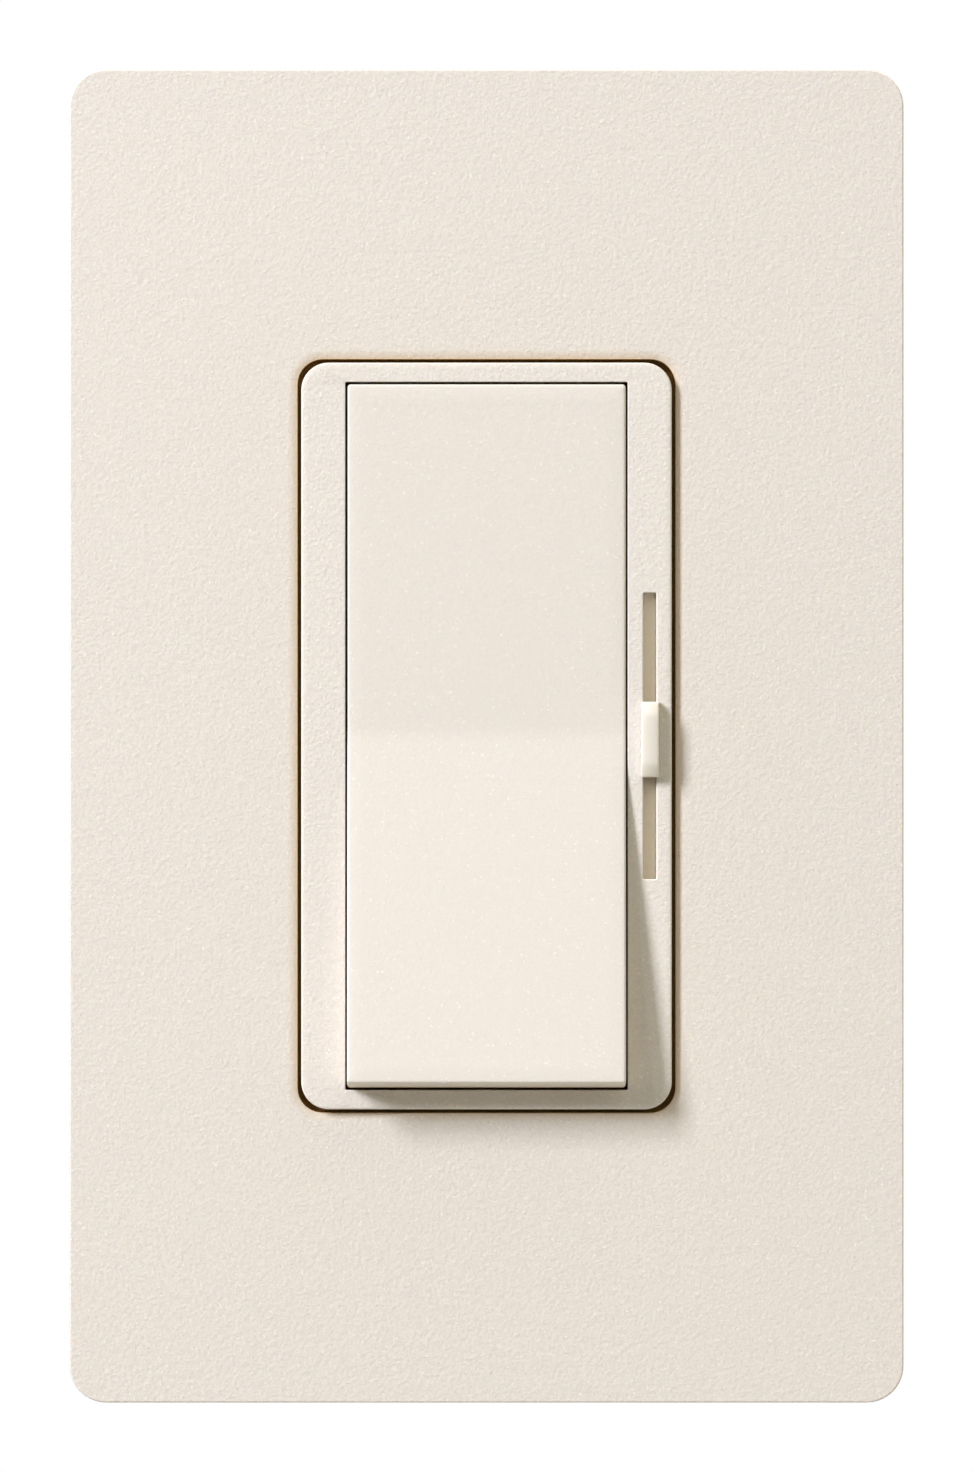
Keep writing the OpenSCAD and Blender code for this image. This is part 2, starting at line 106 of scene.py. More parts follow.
def join(base, *others):
    """Puts separate bodies of one piece into one mesh."""
    bm = bmesh.new()
    bm.from_mesh(base.data)
    for other in others:
        bm.from_mesh(other.data)
        mesh = other.data
        bpy.data.objects.remove(other)
        bpy.data.meshes.remove(mesh)
    bm.to_mesh(base.data)
    bm.free()
    return base


def moved(obj, matrix):
    obj.data.transform(matrix)
    return obj


def shift(obj, x=0, y=0, z=0):
    return moved(obj, Matrix.Translation((x, y, z)))


def turned(obj, degrees, axis):
    return moved(obj, Matrix.Rotation(math.radians(degrees), 4, axis))


def mirrored(obj, axis):
    scale = [-1 if k == "XYZ".index(axis) else 1 for k in range(3)]
    moved(obj, Matrix.Diagonal((*scale, 1)))
    obj.data.flip_normals()
    return obj


def block(x0, x1, y0, y1, z0, z1):
    verts = [(x, y, z) for z in (z0, z1) for y in (y0, y1) for x in (x0, x1)]
    faces = [(0, 2, 3, 1), (4, 5, 7, 6), (0, 1, 5, 4), (2, 6, 7, 3), (0, 4, 6, 2), (1, 3, 7, 5)]
    return solid("block", verts, faces)


def ring(w, h, r, z, steps=10):
    """A rounded rectangle, counterclockwise from its upper right corner."""
    points = []
    for k, (sx, sy) in enumerate(((1, 1), (-1, 1), (-1, -1), (1, -1))):
        for i in range(steps + 1):
            a = math.radians(90 * (k + i / steps))
            points.append((sx * (w / 2 - r) + r * math.cos(a), sy * (h / 2 - r) + r * math.sin(a), z))
    return points


def circle(r, z, steps=48):
    turn = 2 * math.pi / steps
    return [(r * math.cos(i * turn), r * math.sin(i * turn), z) for i in range(steps)]


def loft(rings, loop=False):
    """Skins rings of the same count, and caps the ends unless the rings close on themselves."""
    n = len(rings[0])
    verts = [p for points in rings for p in points]
    pairs = [(k, (k + 1) % len(rings)) for k in range(len(rings) if loop else len(rings) - 1)]
    faces = [(a * n + i, a * n + (i + 1) % n, b * n + (i + 1) % n, b * n + i)
             for a, b in pairs for i in range(n)]
    if not loop:
        faces.append(tuple(reversed(range(n))))
        faces.append(tuple(range(len(verts) - n, len(verts))))
    return solid("loft", verts, faces)


def lathe(profile, steps=48):
    """Turns (radius, z) points about z, from bottom to top."""
    return loft([circle(max(r, 0.001), z, steps) for r, z in profile])


def rod(r, x, y, z0, z1, edge=0.0, steps=40):
    body = [(r - edge, z0), (r, z0 + edge), (r, z1 - edge), (r - edge, z1)] if edge else [(r, z0), (r, z1)]
    return shift(lathe(body, steps), x, y)


def bar(r, x0, x1, y, z, edge=0.0):
    return shift(turned(rod(r, 0, 0, x0, x1, edge, 32), 90, "Y"), 0, y, z)


def prism(outline, y0, y1):
    """An outline in x and z, pulled along y."""
    n = len(outline)
    verts = [(x, y0, z) for x, z in outline] + [(x, y1, z) for x, z in outline]
    faces = [(i, (i + 1) % n, n + (i + 1) % n, n + i) for i in range(n)]
    obj = solid("prism", verts, faces + [tuple(reversed(range(n))), tuple(range(n, 2 * n))])
    bm = bmesh.new()
    bm.from_mesh(obj.data)
    bmesh.ops.recalc_face_normals(bm, faces=bm.faces)
    bm.to_mesh(obj.data)
    bm.free()
    return obj


def tube(points, r, steps=12):
    """Sweeps a round wire along points without twisting it."""
    points = [Vector(p) for p in points]
    n = len(points)
    ahead = [(points[min(k + 1, n - 1)] - points[max(k - 1, 0)]).normalized() for k in range(n)]
    side = ahead[0].orthogonal().normalized()
    rings = []
    for k in range(n):
        if k:
            side = ahead[k - 1].rotation_difference(ahead[k]) @ side
        up = ahead[k].cross(side)
        rings.append([points[k] + r * (math.cos(a) * side + math.sin(a) * up)
                      for a in (2 * math.pi * i / steps for i in range(steps))])
    return loft(rings)


def arc(r, start, end, steps):
    """Offsets along a fillet, as (inward, down) pairs, from the wall to the face."""
    angles = [math.radians(start + (end - start) * i / steps) for i in range(steps + 1)]
    return [(r * (1 - math.cos(a)), r * (1 - math.sin(a))) for a in angles]


def bevelled(obj, width, segments=2):
    mod = obj.modifiers.new("bevel", "BEVEL")
    mod.width, mod.segments, mod.limit_method = width, segments, "ANGLE"
    mod.angle_limit = math.radians(BEVEL_ABOVE)
    mod.use_clamp_overlap = True
    mod.miter_outer = "MITER_ARC"
    return bake(obj)


def tidied(obj):
    """Welds the mesh and clears the lines that cross its flat faces."""
    bm = bmesh.new()
    bm.from_mesh(obj.data)
    bmesh.ops.remove_doubles(bm, verts=bm.verts, dist=WELD)
    bmesh.ops.dissolve_limit(bm, angle_limit=math.radians(FLAT_BELOW), verts=bm.verts, edges=bm.edges)
    bm.to_mesh(obj.data)
    bm.free()
    return obj


def paint_gap_shade(obj, amount):
    """Stores, for each point, how far down into a gap it lies, as the mask for the painted gap shade: a tan
    brown colour standing in for the shade and the light bounced through the plastic down there.
    """
    layer = obj.data.attributes.new("gap_shade", "FLOAT", "POINT")
    for vertex, value in zip(obj.data.vertices, layer.data):
        value.value = max(0.0, min(1.0, amount(*vertex.co)))
    return obj


def ramp(value, low, high):
    return max(0.0, min(1.0, (value - low) / (high - low)))


def finished(obj, name, body, nodes, material, smooth=32):
    """Stands the piece up in the frame and gives it its shading, its body and its finish."""
    obj.name = obj.data.name = name
    moved(obj, STAND)
    mesh = obj.data
    for face in mesh.polygons:
        face.use_smooth = True
    mesh.set_sharp_from_angle(angle=math.radians(smooth))
    mod = obj.modifiers.new("weighted", "WEIGHTED_NORMAL")
    mod.keep_sharp = True
    materials = material if isinstance(material, (list, tuple)) else [material]
    if len(mesh.materials) < len(materials):
        mesh.materials.clear()
        for m in materials:
            mesh.materials.append(m)
    else:
        for k, m in enumerate(materials):
            mesh.materials[k] = m
    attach(obj, body)
    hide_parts(*nodes)
    return obj


def paint(obj, test, index=1):
    """Gives a second material to the faces whose centre, in face millimetres, passes the test."""
    while len(obj.data.materials) <= index:
        obj.data.materials.append(None)
    for face in obj.data.polygons:
        if test(*face.center):
            face.material_index = index
    return obj


def from_node(node, bevel):
    """A copy of a CAD node's mesh in face millimetres, cleaned and with its edges broken."""
    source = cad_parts[node]
    obj = bpy.data.objects.new(node, source.data.copy())
    bpy.context.collection.objects.link(obj)
    obj.data.materials.clear()
    moved(obj, STAND.inverted() @ source.matrix_world)
    return bevelled(tidied(obj), bevel)


# ---------------------------------------------------------------- materials
class Shade:
    """Builds one node material around a Principled shader."""

    def __init__(self, name, rough, metal=0.0, coat=0.0, sub=0.0):
        self.material = bpy.data.materials.new(name)
        self.material.use_nodes = True
        self.tree = self.material.node_tree
        self.shader = next(n for n in self.tree.nodes if n.type == "BSDF_PRINCIPLED")
        self.shader.inputs["Metallic"].default_value = metal
        self.shader.inputs["Roughness"].default_value = rough
        if coat:
            self.shader.inputs["Coat Weight"].default_value = coat
            self.shader.inputs["Coat Roughness"].default_value = 0.12
        if sub:
            self.shader.inputs["Subsurface Weight"].default_value = sub
            self.shader.inputs["Subsurface Radius"].default_value = (1.0, 0.75, 0.5)
            self.shader.inputs["Subsurface Scale"].default_value = 0.0006
        self.coords = self.tree.nodes.new("ShaderNodeTexCoord").outputs["Object"]

    def node(self, kind, links=(), **settings):
        made = self.tree.nodes.new("ShaderNode" + kind)
        for key, value in settings.items():
            setattr(made, key, value)
        for socket, value in links:
            if isinstance(value, bpy.types.NodeSocket):
                self.tree.links.new(value, made.inputs[socket])
            else:
                made.inputs[socket].default_value = value
        return made

    def stretched(self, scale):
        return self.node("Mapping", [("Vector", self.coords), ("Scale", scale)]).outputs[0]

    def noise(self, size_mm, detail=2.0, rough=0.5, coords=None):
        return self.node("TexNoise", [("Vector", coords or self.coords), ("Scale", 1000.0 / size_mm),
                                      ("Detail", detail), ("Roughness", rough)]).outputs[0]

    def cells(self, size_mm, output="Distance", feature="SMOOTH_F1", coords=None):
        return self.node("TexVoronoi", [("Vector", coords or self.coords), ("Scale", 1000.0 / size_mm)],
                         feature=feature).outputs[output]

    def remap(self, value, a, b, low, high):
        return self.node("MapRange", [("Value", value), ("From Min", a), ("From Max", b),
                                      ("To Min", low), ("To Max", high)]).outputs[0]

    def math(self, operation, a, b):
        return self.node("Math", [(0, a), (1, b)], operation=operation).outputs[0]

    def mix(self, factor, a, b):
        made = self.node("Mix", data_type="RGBA")
        for socket, value in ((made.inputs[0], factor), (made.inputs[6], a), (made.inputs[7], b)):
            if isinstance(value, bpy.types.NodeSocket):
                self.tree.links.new(value, socket)
            else:
                socket.default_value = value if isinstance(value, float) else (*value, 1.0)
        return made.outputs[2]

    def bump(self, height, distance_mm):
        sockets = [("Height", height), ("Distance", distance_mm / 1000), ("Strength", 1.0)]
        return self.node("Bump", sockets).outputs[0]

    def set(self, **sockets):
        for name, value in sockets.items():
            self.tree.links.new(value, self.shader.inputs[name.replace("_", " ")])
        return self.material


def tone(colour, factor):
    return tuple(min(1.0, c * factor) for c in colour)


def moulded(name, colour, rough, grain, depth, vary, painted_glint=0.0, sub=0.12, gap_shade=None, gloss=0.5):
    """Injection moulded plastic: spark-eroded grain, slow tone drift, painted glints on the odd raised grain,
    and, given a gap shade colour, painted shade down in gaps.
    """
    s = Shade(name, rough, sub=sub)
    s.shader.inputs["Specular IOR Level"].default_value = gloss
    fine = s.noise(grain, 3.0, 0.62)
    pebble = s.cells(grain * 1.7)
    slow = s.noise(22.0, 3.0, 0.5)
    height = s.math("ADD", fine, s.math("MULTIPLY", pebble, 0.7))
    base = s.mix(s.remap(fine, 0.32, 0.68, 0.0, 1.0), tone(colour, 1 - vary), tone(colour, 1 + vary))
    base = s.mix(s.remap(slow, 0.3, 0.7, 0.0, 0.3), base, tone(colour, 0.965))
    # Painted glints: a few random grains are lightened in colour to stand in for the lamps' sparkle, and they
    # are also raised in the bump.
    if painted_glint:
        lit = s.node("SeparateColor", [("Color", s.cells(grain * 0.9, "Color", "F1"))]).outputs[0]
        spark = s.remap(lit, 1.0 - painted_glint, 1.0, 0.0, 1.0)
        base = s.mix(spark, base, tone(colour, 1.14))
        height = s.math("ADD", height, s.math("MULTIPLY", spark, 0.8))
    # Painted shade: the colour is blended towards the tan brown of a gap by the per-point gap shade mask.
    if gap_shade:
        base = s.mix(s.node("Attribute", attribute_name="gap_shade").outputs["Fac"], base, gap_shade)
    roughness = s.remap(s.math("ADD", s.math("MULTIPLY", fine, 0.5), s.math("MULTIPLY", slow, 0.5)),
                        0.3, 0.7, rough - 0.06, rough + 0.09)
    return s.set(Base_Color=base, Roughness=roughness, Normal=s.bump(height, depth))


def metal(name, colour, rough=0.3, streak=(1, 1, 1), size=0.4, depth=0.006, dull=0.82, metallic=1.0):
    """Plain or plated metal: rolling or turning lines, dull patches and small dents."""
    s = Shade(name, rough, metal=metallic)
    lines = s.noise(size, 4.0, 0.6, s.stretched(streak))
    cloud = s.noise(4.0, 4.0, 0.6)
    pits = s.cells(0.9, "Distance", "F1")
    base = s.mix(s.remap(cloud, 0.35, 0.7, 0.0, 1.0), colour, tone(colour, dull))
    base = s.mix(s.remap(lines, 0.35, 0.65, 0.0, 0.35), base, tone(colour, 1.08))
    roughness = s.remap(s.math("ADD", cloud, s.math("MULTIPLY", lines, 0.6)), 0.5, 1.1,
                        rough - 0.08, rough + 0.16)
    height = s.math("ADD", lines, s.math("MULTIPLY", pits, 0.35))
    return s.set(Base_Color=base, Roughness=roughness, Normal=s.bump(height, depth))


def dipped(name, colour, rough=0.28, size=1.6, depth=0.03, speck=0.9):
    """Lacquer or resin over a small component: soft runs and tiny specks."""
    s = Shade(name, rough, coat=0.3)
    runs = s.noise(size, 2.0, 0.5)
    fine = s.noise(0.18, 2.0, 0.5)
    base = s.mix(s.remap(fine, 0.4, 0.65, 0.0, 1.0), colour, tone(colour, speck))
    return s.set(Base_Color=base, Roughness=s.remap(runs, 0.3, 0.7, rough - 0.08, rough + 0.12),
                 Normal=s.bump(s.math("ADD", runs, s.math("MULTIPLY", fine, 0.06)), depth))


def unpolished(name, colour):
    """Painted gap shade: the walls down in a gap get the tan brown shade colour in place of the plastic's
    own, with no gloss, so that only coloured light comes back out.
    """
    s = Shade(name, 0.9)
    s.shader.inputs["Specular IOR Level"].default_value = 0.0
    fine = s.remap(s.noise(0.22, 3.0, 0.62), 0.32, 0.68, 0.0, 1.0)
    return s.set(Base_Color=s.mix(fine, tone(colour, 0.94), tone(colour, 1.06)))


# Painted shade: the tan brown given to gap walls and, through the gap shade mask, blended into surfaces as
# they go down into a gap.
GAP_SHADE_TAN = (0.66, 0.46, 0.20)
plate_plastic = moulded("almond_plate", (0.770, 0.714, 0.668), 0.46, 0.22, 0.036, 0.055,
                        painted_glint=0.09, gap_shade=GAP_SHADE_TAN)
# Painted shade for the walls down in the gaps.
gap_shade_paint = unpolished("almond_gap_painted_shade", GAP_SHADE_TAN)
bezel_plastic = moulded("almond_bezel", (0.788, 0.734, 0.688), 0.44, 0.22, 0.042, 0.055,
                        painted_glint=0.10, gap_shade=GAP_SHADE_TAN)
paddle_plastic = moulded("almond_paddle", (0.788, 0.732, 0.682), 0.40, 0.22, 0.020, 0.028,
                         painted_glint=0.035, gap_shade=GAP_SHADE_TAN)
# The paddle's sides: the same plastic with no gloss, carrying the painted gap shade.
paddle_sides = moulded("almond_paddle_side", (0.788, 0.732, 0.682), 0.90, 0.22, 0.020, 0.028,
                       gap_shade=GAP_SHADE_TAN, gloss=0.0)
knob_plastic = moulded("almond_knob", (0.812, 0.770, 0.705), 0.30, 0.3, 0.003, 0.006, sub=0.6)
shutter_plastic = moulded("almond_shutter", (0.880, 0.790, 0.640), 0.5, 0.3, 0.008, 0.02)
adapter_plastic = moulded("almond_adapter", (0.720, 0.660, 0.580), 0.5, 0.34, 0.02, 0.03)
nylon = moulded("natural_nylon", (0.74, 0.70, 0.61), 0.34, 0.5, 0.004, 0.01, sub=0.4)
acetal = moulded("dark_acetal", (0.055, 0.058, 0.064), 0.42, 0.3, 0.008, 0.08, sub=0.0)
black_plastic = moulded("black_plastic", (0.020, 0.020, 0.023), 0.45, 0.3, 0.012, 0.1, sub=0.0)
phenolic = moulded("phenolic_black", (0.030, 0.030, 0.033), 0.40, 0.42, 0.02, 0.14, painted_glint=0.02, sub=0.0)
epoxy = moulded("epoxy_black", (0.016, 0.016, 0.018), 0.5, 0.12, 0.008, 0.12, sub=0.0)
aluminium = metal("sheet_aluminium", (0.80, 0.81, 0.83), 0.34, (1, 1, 0.03), 0.5, 0.004, 0.9)
zinc = metal("zinc_steel", (0.76, 0.76, 0.74), 0.26, (1, 1, 1), 0.35, 0.006, 0.8)
rivet_metal = metal("rivet_aluminium", (0.80, 0.80, 0.80), 0.3, (1, 1, 1), 0.5, 0.006, 0.85)
steel = metal("spring_steel", (0.60, 0.61, 0.63), 0.22, (1, 1, 1), 0.2, 0.002, 0.85)
bronze = metal("phosphor_bronze", (0.82, 0.52, 0.26), 0.28, (1, 0.05, 1), 0.3, 0.003, 0.85)
tinned = metal("tinned_metal", (0.72, 0.72, 0.69), 0.3, (1, 1, 1), 0.6, 0.012, 0.85)
brass = metal("contact_brass", (0.83, 0.62, 0.27), 0.27, (0.06, 1, 1), 0.4, 0.004, 0.8)
silver = metal("contact_silver", (0.86, 0.85, 0.83), 0.25, (1, 1, 1), 0.4, 0.004, 0.85)
screw_brass = metal("brass_screw", (0.82, 0.63, 0.29), 0.24, (1, 1, 1), 0.3, 0.006, 0.78)
green_metal = metal("green_screw", (0.035, 0.24, 0.075), 0.3, (1, 1, 1), 0.3, 0.006, 0.75, 0.65)
copper = dipped("enamelled_copper", (0.47, 0.13, 0.04), 0.22, 0.5, 0.006, 0.85)
red_resin = dipped("capacitor_case", (0.50, 0.075, 0.025), 0.26)
blue_resin = dipped("capacitor_blue", (0.030, 0.085, 0.26), 0.26)
resistor_paint = dipped("resistor_body", (0.57, 0.42, 0.24), 0.3, 0.8, 0.01)
band_paint = [dipped("band_" + n, c, 0.3, 0.8, 0.01) for n, c in
              (("brown", (0.11, 0.035, 0.012)), ("black", (0.012, 0.012, 0.013)),
               ("orange", (0.62, 0.17, 0.02)))]
glass = dipped("diac_glass", (0.52, 0.16, 0.06), 0.12, 0.8, 0.004)
film = moulded("insulator_film", (0.70, 0.68, 0.62), 0.55, 0.2, 0.004, 0.02, sub=0.2)
carbon = moulded("carbon_track", (0.018, 0.016, 0.015), 0.5, 0.1, 0.003, 0.2, sub=0.0)


def fibre_material():
    s = Shade("fibre_board", 0.8)
    strands = s.noise(0.5, 6.0, 0.7, s.stretched((1, 1, 0.15)))
    base = s.mix(s.remap(strands, 0.3, 0.7, 0.0, 1.0), (0.40, 0.22, 0.10), (0.30, 0.15, 0.065))
    return s.set(Base_Color=base, Normal=s.bump(strands, 0.03))


def core_material():
    s = Shade("iron_powder", 0.55)
    grain = s.noise(0.16, 5.0, 0.7)
    base = s.mix(s.remap(grain, 0.35, 0.65, 0.0, 1.0), (0.14, 0.17, 0.14), (0.23, 0.26, 0.22))
    return s.set(Base_Color=base, Normal=s.bump(grain, 0.03))


def board_material():
    """Solder mask with the copper runs showing faintly through it."""
    s = Shade("circuit_board", 0.3, coat=0.2)
    runs = s.cells(5.5, "Distance", "DISTANCE_TO_EDGE", s.stretched((1, 0.001, 1)))
    fine = s.noise(0.3, 3.0, 0.6)
    edge = s.remap(runs, 0.05, 0.11, 0.0, 1.0)
    base = s.mix(edge, (0.014, 0.075, 0.024), (0.028, 0.155, 0.05))
    base = s.mix(s.remap(fine, 0.4, 0.7, 0.0, 0.25), base, (0.02, 0.10, 0.035))
    height = s.math("ADD", s.math("MULTIPLY", edge, 0.6), s.math("MULTIPLY", fine, 0.1))
    return s.set(Base_Color=base, Normal=s.bump(height, 0.035))


fibre, core_paint, board = fibre_material(), core_material(), board_material()


# ---------------------------------------------------------------- wallplate
def outer_edge(w, h, r, top, e, steps=8):
    return [ring(w - 2 * d, h - 2 * d, r - d, top - down) for d, down in arc(e, 0, 90, steps)]


def roll_in(w, h, r, top, radius, end=90, steps=8):
    """The rolled rim of an opening, from the face down into it, with its slope growing to end degrees."""
    rings = []
    for i in range(steps + 1):
        a = math.radians(end * i / steps)
        d, down = radius * (math.sin(math.radians(end)) - math.sin(a)), radius * (1 - math.cos(a))
        rings.append(ring(w + 2 * d, h + 2 * d, r + d, top - down))
    return rings


def outside(x, y, w, h, r):
    """Distance of a point outside a rounded rectangle."""
    return math.hypot(max(abs(x) - w / 2 + r, 0), max(abs(y) - h / 2 + r, 0)) - r


def wallplate():
    inner = PLATE_Z - PLATE_T
    w, h, r = PLATE_W, PLATE_H, PLATE_R
    pocket_w, pocket_h, pocket_r = w - 2 * PLATE_T, h - 2 * PLATE_T, r - 1.4
    rings = [ring(pocket_w + 0.4, pocket_h + 0.4, pocket_r + 0.2, 0), ring(w - 0.5, h - 0.5, r - 0.25, 0),
             ring(w - 0.15, h - 0.15, r - 0.07, 0.07), ring(w, h, r, 0.25)]
    rings += outer_edge(w, h, r, PLATE_Z, PLATE_E)
    rings += roll_in(OPEN_W + 0.06, OPEN_H + 0.06, OPEN_R + 0.03, PLATE_Z, 3.1, 16)
    rings += [ring(OPEN_W, OPEN_H, OPEN_R, PLATE_Z - 0.17), ring(OPEN_W, OPEN_H, OPEN_R, PLATE_Z - 0.6),
              ring(OPEN_W, OPEN_H, OPEN_R, inner + 0.15),
              ring(OPEN_W + 0.3, OPEN_H + 0.3, OPEN_R + 0.15, inner),
              ring(pocket_w - 0.8, pocket_h - 0.8, pocket_r - 0.4, inner),
              ring(pocket_w, pocket_h, pocket_r, inner - 0.4), ring(pocket_w, pocket_h, pocket_r, 0.2)]
    plate = loft(rings, loop=True)
    for s in (-1, 1):
        add(plate, bevelled(block(s * 27 - 0.55, s * 27 + 0.55, -42, 42, inner - 1.85, inner + 0.5), 0.15),
            bevelled(block(-25, 25, s * 37 - 0.55, s * 37 + 0.55, inner - 1.85, inner + 0.5), 0.15))
        for t in (-1, 1):
            y, x = s * (PLATE_H / 2 - PLATE_T), t * (PLATE_W / 2 - PLATE_T)
            add(plate, bevelled(block(t * 17 - 4.5, t * 17 + 4.5, min(y - s * 1.05, y + s * 0.3),
                                      max(y - s * 1.05, y + s * 0.3), 0.6, 1.4), 0.12),
                bevelled(block(min(x - t * 0.7, x + t * 0.3), max(x - t * 0.7, x + t * 0.3),
                               s * 30 - 4.5, s * 30 + 4.5, 0.6, 1.4), 0.12))
    cut(plate, bevelled(block(-3.5, 3.5, -PLATE_H / 2 - 1, -PLATE_H / 2 + 1, -1, 0.8), 0.2))

    # Painted shade around the opening: a tan band on the rolled rim, where the bezel's shadow falls and the
    # rim turns from the lamp, growing stronger down the opening's wall.
    def depth(x, y, z):
        out = outside(x, y, OPEN_W, OPEN_H, OPEN_R)
        return 0 if out > 0.95 else 0.28 * ramp(0.95 - out, 0.0, 0.9) + 0.72 * ramp(PLATE_Z - z, 0.13, 0.5)
    paint_gap_shade(plate, depth)
    # The opening's wall, down in the gap, is painted with the gap shade material.
    paint(plate, lambda x, y, z: inner - 0.1 < z < PLATE_Z - 0.3
          and outside(x, y, OPEN_W, OPEN_H, OPEN_R) < 0.3)
    return finished(plate, "wallplate_shell", "frame", ["wallplate"],
                    [plate_plastic, gap_shade_paint])


# ---------------------------------------------------------------- bezel
def slot_cutter():
    flare = 0.14
    rings = [ring(SLOT_W, SLOT_H, 0.12, 6, 4)]
    for i in range(5):
        a = math.radians(90 * i / 4)
        d = flare * (1 - math.cos(a))
        rings.append(ring(SLOT_W + 2 * d, SLOT_H + 2 * d, 0.12 + d, BEZEL_Z - flare * (1 - math.sin(a)), 4))
    rings.append(ring(SLOT_W + 2 * flare, SLOT_H + 2 * flare, 0.12 + flare, BEZEL_Z + 1, 4))
    return shift(loft(rings), SLOT_X)


def bezel():
    face_in, rim = BEZEL_Z - 0.9, PLATE_Z - PLATE_T - 0.3
    w, h, r = BEZEL_W, BEZEL_H, BEZEL_R
    rings = [ring(w + 2, h + 2, r + 0.9, YOKE_T), ring(w + 2.2, h + 2.2, r + 1, YOKE_T + 0.15),
             ring(w + 2.2, h + 2.2, r + 1, rim - 0.2), ring(w + 1.9, h + 1.9, r + 0.85, rim),
             ring(w + 0.1, h + 0.1, r + 0.05, rim), ring(w, h, r, rim + 0.05), ring(w, h, r, BEZEL_Z - 0.5)]
    rings += outer_edge(w, h, r, BEZEL_Z - 0.03, 0.16, 5)
    rings += [ring(w - 2 * d, h - 2 * d, r - d, BEZEL_Z - 0.03 * (1 - d / 0.7) ** 2)
              for d in (0.3, 0.45, 0.7)]
    rings += roll_in(WELL_W, WELL_H, 0.15, BEZEL_Z, 0.08, 90, 4)
    rings += [ring(WELL_W, WELL_H, 0.15, BEZEL_Z - 0.5), ring(WELL_W, WELL_H, 0.15, YOKE_T + 0.2),
              ring(WELL_W + 0.4, WELL_H + 0.4, 0.5, YOKE_T)]
    body = loft(rings, loop=True)
    cut(body, slot_cutter(), block(13.4, 15.9, -32.1, 32.1, face_in - 0.7, face_in),
        block(14.05, 15.5, -16, 16, 0, face_in - 0.6), block(-15.5, -14.05, -30, 30, 0, face_in),
        bar(0.85, -13.5, 13.5, 0, PIVOT_Z))
    for t in (-1, 1):
        for s in (-1, 1):
            leg = bevelled(prism([(15.5, -2.4), (16.6, -2.4), (16.8, -2.4), (17.6, -0.7), (17.6, -0.05),
                                  (16.6, -0.05), (16.6, YOKE_T + 0.6), (15.5, YOKE_T + 0.6)], -2.5, 2.5), 0.1)
            shift(leg, 0, s * 24)
            add(body, leg if t > 0 else mirrored(leg, "X"))

    def in_slot(x, y):
        return abs(x - SLOT_X) < 0.8 and abs(y) < SLOT_H / 2 + 1

    # Painted shade: the bezel's walls darken towards the gap's tan brown as they go below its face, and the
    # walls down in the gaps take the gap shade material. The slot is left out.
    paint_gap_shade(body, lambda x, y, z: 0 if in_slot(x, y) else ramp(BEZEL_Z - z, 0.10, 0.45))
    paint(body, lambda x, y, z: z < BEZEL_Z - 0.45 and not in_slot(x, y))
    return finished(body, "bezel_frame", "frame", ["bezel"], [bezel_plastic, gap_shade_paint])


# ---------------------------------------------------------------- paddle
def dish(y):
    """Extra height of the paddle face at y: two flats that meet in a soft crease."""
    soft = 0.45
    return (math.sqrt(y * y + soft * soft) - soft) * math.tan(PADDLE_HALF)


def crown(inset):
    """Fall of the paddle face towards its edges."""
    return 0.06 * (1 - inset / 1.7) ** 2


PADDLE_ROWS = (-29, -24, -16, -8, -4, -2, -1, -0.6, -0.3, 0, 0.3, 0.6, 1, 2, 4, 8, 16, 24, 29)


def paddle_ring(inset, drop, corner, half_w, end, flat_z=None):
    """One outline of the paddle: a point at each row on both long sides, and the ends on the pivot circle."""
    x = half_w - inset
    points = []
    for side in (1, -1):
        rows = sorted(PADDLE_ROWS, reverse=side < 0)
        points += [(side * x, y) for y in rows]
        y_end = side * (end - inset)
        r = max(corner - inset, 0.02)
        for i in range(5):
            a = math.radians(90 * i / 4)
            points.append((side * (x - r + r * math.cos(a)), y_end - side * r * (1 - math.sin(a))))
        for i in range(5):
            a = math.radians(90 * i / 4)
            points.append((-side * (x - r + r * math.sin(a)), y_end - side * r * (1 - math.cos(a))))
    out = []
    for px, py in points:
        z = PADDLE_TOP + dish(py) - drop if flat_z is None else flat_z(py)
        reach = math.sqrt(max(end * end - z * z, 1))
        out.append((px, py * (reach / end if abs(py) > 29.5 else 1), z))
    return out


def paddle_block(inset, drop, corner, low):
    """A closed paddle shape: rounded top edges, flat bottom at low."""
    edge = 0.22 if not inset else 0.0
    half_w, end = PADDLE_W / 2 - inset, PADDLE_END - inset
    rings = [paddle_ring(0, 0, corner, half_w, end, lambda y: low)]
    if not inset:
        rings += [paddle_ring(0, 0, corner, half_w, end, lambda y, d=d: 2.55 - d + y * math.tan(PADDLE_HALF))
                  for d in (0.45, 0.15)]
    levels = [(0, 0)]
    if edge:
        levels = [(d, down + crown(d)) for d, down in arc(edge, 0, 90, 6)]
        levels += [(d, crown(d)) for d in (0.4, 0.65, 0.95, 1.3, 1.7)]
    rings += [paddle_ring(d, down + drop, corner, half_w, end) for d, down in levels]
    n = len(rings[0])
    verts = [p for points in rings for p in points]
    faces = [(a * n + i, a * n + (i + 1) % n, (a + 1) * n + (i + 1) % n, (a + 1) * n + i)
             for a in range(len(rings) - 1) for i in range(n)]
    faces.append(tuple(reversed(range(n))))
    top = len(verts) - n
    rows = len(PADDLE_ROWS)
    half = n // 2
    for i in range(rows - 1):
        faces.append((top + i, top + i + 1, top + half + rows - 2 - i, top + half + rows - 1 - i))
    faces.append(tuple(top + i for i in range(rows - 1, half + 1)))
    faces.append(tuple(top + i % n for i in range(half + rows - 1, n + 1)))
    return solid("paddle_block", verts, faces)


